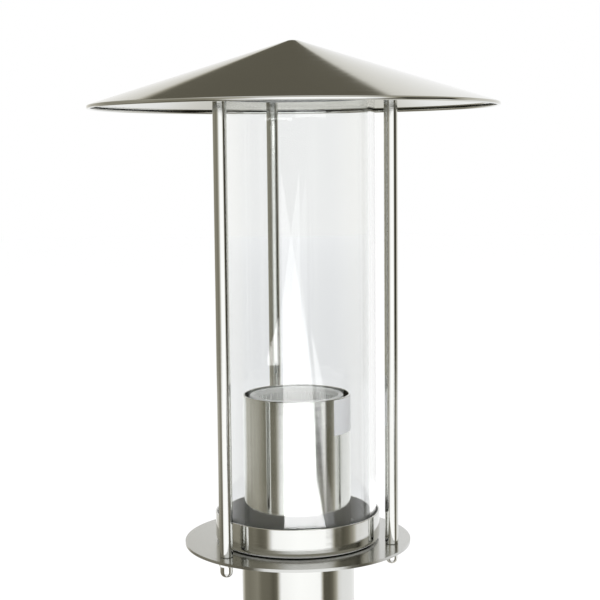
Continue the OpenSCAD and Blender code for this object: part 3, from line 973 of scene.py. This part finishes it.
def round_the_room(levels):
    """The level by direction round the room, as a curve with straight pieces."""
    ring = sky.nodes.new("ShaderNodeFloatCurve")
    curve = ring.mapping.curves[0]
    for index, (angle, level) in enumerate(levels):
        place = ((angle + 180) / 360, level / HIGHEST)
        if index < 2:
            curve.points[index].location = place
        else:
            curve.points.new(*place)
    for point in curve.points:
        point.handle_type = "VECTOR"
    ring.mapping.update()
    sky.links.new(maths("DIVIDE", add(turn, 180.0), 360.0), ring.inputs["Value"])
    return times(ring.outputs[0], HIGHEST)


print("ring points:", len(FLOOR_LEVELS), len(WALL_LEVELS), len(UPPER_LEVELS))

# %% Floor and walls
FLOOR_EDGE, FLOOR_EDGE_SOFT = -14.0, 3.0
UPPER_EDGE, UPPER_EDGE_SOFT = -9.3, 0.6
HAT_SHADE_EDGE, HAT_SHADE_SOFT, HAT_SHADE = -29.0, 10.0, 0.74

above_floor = step_up(rise, FLOOR_EDGE, FLOOR_EDGE_SOFT)
walls = blend_levels(
    step_up(rise, UPPER_EDGE, UPPER_EDGE_SOFT),
    round_the_room(WALL_LEVELS), round_the_room(UPPER_LEVELS),
)
hat_shade = blend_levels(step_up(rise, HAT_SHADE_EDGE, HAT_SHADE_SOFT), HAT_SHADE, 1.0)
sheets = blend_levels(above_floor, times(round_the_room(FLOOR_LEVELS), hat_shade), walls)
made("floor and walls")

# %% Dark slit
# The front sheets meet in a dark slit. Its left side is upright, its right side curves out
SLIT_TOP = -10.4
SLIT_MIDDLE, SLIT_HALF = 44.7, 5.7
SLIT_LEAN, SLIT_CURVE = 1.4, 0.25
SLIT_SOFT = 1.5

slit_drop = drop_below(SLIT_TOP)
slit_growth = times(slit_drop, leaning(slit_drop, SLIT_LEAN, SLIT_CURVE))
off_middle = maths("ABSOLUTE", less(turn, add(slit_growth, SLIT_MIDDLE)))
beside_slit = less(off_middle, add(slit_growth, SLIT_HALF))
slit_starts = maths("GREATER_THAN", slit_drop, 0.0)
in_slit = times(less(1.0, step_up(beside_slit, 0.0, SLIT_SOFT)), slit_starts)
low_room = times(sheets, less(1.0, times(in_slit, above_floor)))
made("slit")

# %% Ceiling
# Behind the object the ceiling starts low, and its shade reaches down over the paper.
# The dark part is only what the hat mirrors straight at the camera. To its sides, high
# up and over the front sheets it is lighter, so the hat never melts into white or black
CEILING_LOW_LEFT = 20.7
CEILING_LOW_RIGHT = 28.5
CEILING_SOFT_LEFT = 3.0
CEILING_SOFT_RIGHT = 0.7
CEILING_LEVEL = 0.122
LIGHTER_CEILING_LEVEL = 0.40
SHADE_UNDER_CEILING = 0.29
SHADE_REACH = 7.0
DARK_PART_FROM, DARK_PART_SOFT = 152.0, 16.0
HIGH_PART_FROM, HIGH_PART_SOFT = 48.0, 14.0
OVER_SHEETS_FROM, OVER_SHEETS_SOFT = 19.0, 8.0

ceiling_low = blend_levels(on_the_right, CEILING_LOW_LEFT, CEILING_LOW_RIGHT)
ceiling_soft = blend_levels(on_the_right, CEILING_SOFT_LEFT, CEILING_SOFT_RIGHT)
under_ceiling = maths("DIVIDE", drop_below(ceiling_low), -SHADE_REACH)
shade = times(maths("EXPONENT", under_ceiling), SHADE_UNDER_CEILING)
paper_level = times(low_room, less(1.0, times(shade, behind)))

ceiling = step_up(maths("DIVIDE", less(rise, ceiling_low), ceiling_soft), 0.0, 1.0)
beside_dark_part = less(1.0, step_up(maths("ABSOLUTE", turn), DARK_PART_FROM, DARK_PART_SOFT))
lighter = maths("MAXIMUM", beside_dark_part, step_up(rise, HIGH_PART_FROM, HIGH_PART_SOFT))
ceiling_level = blend_levels(lighter, CEILING_LEVEL, LIGHTER_CEILING_LEVEL)
with_ceiling = blend_levels(times(ceiling, behind), paper_level, ceiling_level)
over_sheets = times(step_up(rise, OVER_SHEETS_FROM, OVER_SHEETS_SOFT), less(1.0, behind))
with_ceiling = blend_levels(over_sheets, with_ceiling, LIGHTER_CEILING_LEVEL)
made("ceiling")

# %% Top light
TOP_LIGHT_FROM, TOP_LIGHT_SOFT = 62.0, 16.0
TOP_LIGHT_LEVEL = 0.9

room = blend_levels(step_up(rise, TOP_LIGHT_FROM, TOP_LIGHT_SOFT), with_ceiling, TOP_LIGHT_LEVEL)
made("top light")

# %% [markdown]
# ## What the glass mirrors
#
# Smooth glass would mirror that whole bright sheet and hide what stands behind it. In a
# studio the sheet is turned until only its slanting corner shows in the glass. The world
# does the same with the number of faces a ray has crossed. A ray mirrored by the front
# wall has crossed none or two, and one mirrored by the far wall four or six. They meet a
# dark room with a bright wedge. A ray mirrored by metal inside the cylinder has crossed
# four too, but it points further down or aside. That tells it apart, and it meets the
# full room.

# %% Which wall sent the ray
NARROW_VIEW = 75.0
TUBE_TOP_RISE = -9.0

path = add_node(sky, "ShaderNodeLightPath").outputs
crossed = path["Transmission Depth"]
from_front_wall = maths("LESS_THAN", crossed, 3.0)
from_inside = maths("COMPARE", crossed, 4.0)
from_far_wall = maths("COMPARE", crossed, 6.0)
ahead_of_axis = maths("LESS_THAN", maths("ABSOLUTE", turn), NARROW_VIEW)
over_the_tube = times(maths("GREATER_THAN", rise, TUBE_TOP_RISE), ahead_of_axis)
through_a_wall = add(add(from_front_wall, from_far_wall), times(from_inside, over_the_tube))
mirrored_once = times(path["Is Singular Ray"], path["Is Reflection Ray"])
leaves_a_wall = times(path["Is Transmission Ray"], through_a_wall)
just_one_mirror = maths("LESS_THAN", path["Glossy Depth"], 1.5)
in_glass = times(maths("MAXIMUM", mirrored_once, leaves_a_wall), just_one_mirror)
made("glass test")

# %% [markdown]
# The wedge hangs from a point and widens downwards. The front wall shows it upright at
# its left side, the far wall shows it again from further right and reversed, and where
# the two overlap they make the shape of a slim bright flame. Lower down the front wall
# shows the sheets themselves: a pale veil over the middle of the tube, which grows
# brighter toward the floor, and a narrow strip of light on each side of it.

# %% Bright wedge
WEDGE_TOP = -0.6
WEDGE_SPREAD = 5.2
WEDGE_LEFT_FRONT = -19.4
WEDGE_LEFT_FAR = -7.5
WEDGE_LEVEL_FRONT = 1.25
WEDGE_LEVEL_FAR = 2.8
DARK_ROOM = 0.03
SIDE_PAPER, SIDE_PAPER_SOFT = 98.0, 80.0

wedge_left = blend_levels(from_far_wall, WEDGE_LEFT_FRONT, WEDGE_LEFT_FAR)
wedge_right = leaning(drop_below(WEDGE_TOP), wedge_left, WEDGE_SPREAD)
wedge_level = blend_levels(from_far_wall, WEDGE_LEVEL_FRONT, WEDGE_LEVEL_FAR)
side_paper = step_up(maths("ABSOLUTE", turn), SIDE_PAPER, SIDE_PAPER_SOFT)
dark_and_paper = blend_levels(side_paper, DARK_ROOM, 1.0)
glass_room = blend_levels(between(wedge_left, wedge_right), dark_and_paper, wedge_level)
made("wedge")

# %% Veil in the front wall
# Its left border is the wedge's. Its right border leans out, less so lower down and
# more again at the foot, where the pale floor in front adds an even light
VEIL_TOP = -4.5
VEIL_GAIN, VEIL_GAIN_AT_FOOT = 0.6, 0.95
UPPER_START, UPPER_LEAN = 8.2, 2.96
LOWER_START, LOWER_LEAN = 15.0, 1.6
FLARE_DROP, FLARE_LEAN = 8.8, 4.5
FOOT_DROP, FOOT_SOFT = 9.1, 1.2
PALE_FLOOR = 0.45

veil_drop = drop_below(VEIL_TOP)
upper_border = leaning(veil_drop, UPPER_START, UPPER_LEAN)
lower_border = leaning(veil_drop, LOWER_START, LOWER_LEAN)
flare = times(at_least_none(less(veil_drop, FLARE_DROP)), FLARE_LEAN)
veil_right = add(maths("MINIMUM", upper_border, lower_border), flare)
at_the_foot = step_up(veil_drop, FOOT_DROP, FOOT_SOFT)
veil_gain = blend_levels(at_the_foot, VEIL_GAIN, VEIL_GAIN_AT_FOOT)
veil_level = times(times(veil_drop, veil_gain), between(WEDGE_LEFT_FRONT, veil_right))
made("veil")

# %% Strips beside the veil
# Both hang from a point. The left one stops at a level foot, the right one runs on down
LEFT_TOP, LEFT_FOOT, FOOT_EDGE = -6.6, -8.6, 0.06
LEFT_START, LEFT_LEAN, LEFT_WIDEST = -24.9, -10.0, -41.5
LEFT_LEVEL = 5.0
RIGHT_TOP = -7.2
INNER_START, INNER_LEAN = 22.1, 2.55
OUTER_START, OUTER_LEAN, RIGHT_WIDEST = 22.4, 7.5, 43.2
RIGHT_LEVEL = 2.3

left_border = maths("MAXIMUM", leaning(drop_below(LEFT_TOP), LEFT_START, LEFT_LEAN), LEFT_WIDEST)
left_strip = times(between(left_border, LEFT_START), step_up(rise, LEFT_FOOT, FOOT_EDGE))
right_drop = drop_below(RIGHT_TOP)
inner_border = leaning(right_drop, INNER_START, INNER_LEAN)
outer_border = maths("MINIMUM", leaning(right_drop, OUTER_START, OUTER_LEAN), RIGHT_WIDEST)
right_strip = between(inner_border, outer_border)
strip_level = add(times(left_strip, LEFT_LEVEL), times(right_strip, RIGHT_LEVEL))

front_wall_level = add(add(veil_level, times(at_the_foot, PALE_FLOOR)), strip_level)
glass_room = add(glass_room, times(front_wall_level, from_front_wall))
made("strips")

# %% Which room a ray meets
EVEN_LIGHT = 1.05
BEHIND_GLASS_GAIN = 1.10

in_reflection = maths("GREATER_THAN", path["Glossy Depth"], 0.5)
soft_light = maths("GREATER_THAN", path["Diffuse Depth"], 0.5)
seen_room = times(room, blend_levels(from_inside, 1.0, BEHIND_GLASS_GAIN))
mirrored = blend_levels(in_glass, seen_room, glass_room)
shown = blend_levels(in_reflection, 1.0, mirrored)
level = blend_levels(soft_light, shown, EVEN_LIGHT)
made("choice of room")

# %% Warm walls, neutral paper
WARM_UNDER, NEUTRAL_OVER = 0.1, 1.0
WARM = (1.05, 0.97, 0.72, 1)
NEUTRAL = (1, 1, 1, 1)

brightness = add_node(sky, "ShaderNodeMapRange", Value=level)
brightness.inputs["From Min"].default_value = WARM_UNDER
brightness.inputs["From Max"].default_value = NEUTRAL_OVER
tint = add_node(sky, "ShaderNodeMix", {"data_type": "RGBA"}, Factor=brightness.outputs["Result"])
tint.inputs["A"].default_value = WARM
tint.inputs["B"].default_value = NEUTRAL
background = add_node(sky, "ShaderNodeBackground", Strength=level, Color=tint.outputs["Result"])
world_output = sky.nodes.new("ShaderNodeOutputWorld")
sky.links.new(background.outputs[0], world_output.inputs["Surface"])
made("tint")

# %% [markdown]
# ## Lamp
#
# One large soft lamp over the right front puts the faint shadow on the paper. It is kept
# out of reflections and out of sight, because the world already draws the sheets.

# %% Lamp over the floor
LAMP_SIZE = (1.6, 1.2)
LAMP_WATTS = 14.0
LAMP_PLACE = (0.7, -1.5, 1.0)
LAMP_AIM = (0, 0, 0.2)

lamp_data = bpy.data.lights.new("softbox", "AREA")
lamp_data.shape = "RECTANGLE"
lamp_data.size, lamp_data.size_y = LAMP_SIZE
lamp_data.energy = LAMP_WATTS
lamp = bpy.data.objects.new("softbox", lamp_data)
bpy.context.scene.collection.objects.link(lamp)
lamp.location = LAMP_PLACE
lamp.rotation_euler = (Vector(LAMP_AIM) - lamp.location).to_track_quat("-Z", "Y").to_euler()
lamp.visible_glossy = False
lamp.visible_camera = False
print("lamp:", lamp_data.energy, "W at", LAMP_PLACE)

# %% [markdown]
# ## Camera
#
# The camera stands just below the hat and looks slightly down, so the hat's rim shows as
# a thin ellipse and the tray as a wide one. Distance, height, tilt and focal length were
# found together from the outlines of the pieces; here they are plain numbers.

# %% Camera
DISTANCE = 0.72796
EYE_HEIGHT = 0.20286
TILT = 0.1035
ROLL = -0.0098
YAW = 0.0032
FOCAL_MM = 83.6
SENSOR_MM = 36.0

camera_data = bpy.data.cameras.new("camera")
camera_data.lens = FOCAL_MM
camera_data.sensor_width = SENSOR_MM
camera_data.clip_start = 0.01
camera = bpy.data.objects.new("camera", camera_data)
bpy.context.scene.collection.objects.link(camera)
ahead = Vector((math.sin(YAW), math.cos(YAW), 0))
level_right = Vector((math.cos(YAW), -math.sin(YAW), 0))
forward = ahead * math.cos(TILT) - Vector((0, 0, math.sin(TILT)))
upward = Vector((0, 0, math.cos(TILT))) + ahead * math.sin(TILT)
right = level_right * math.cos(ROLL) + upward * math.sin(ROLL)
top = upward * math.cos(ROLL) - level_right * math.sin(ROLL)
axes = Matrix((right, top, -forward)).transposed().to_4x4()
camera.matrix_world = Matrix.Translation((0, -DISTANCE, disc_top + EYE_HEIGHT)) @ axes
bpy.context.scene.camera = camera
bpy.context.scene.view_settings.view_transform = "Standard"
print("camera at", [round(v, 3) for v in camera.matrix_world.translation])
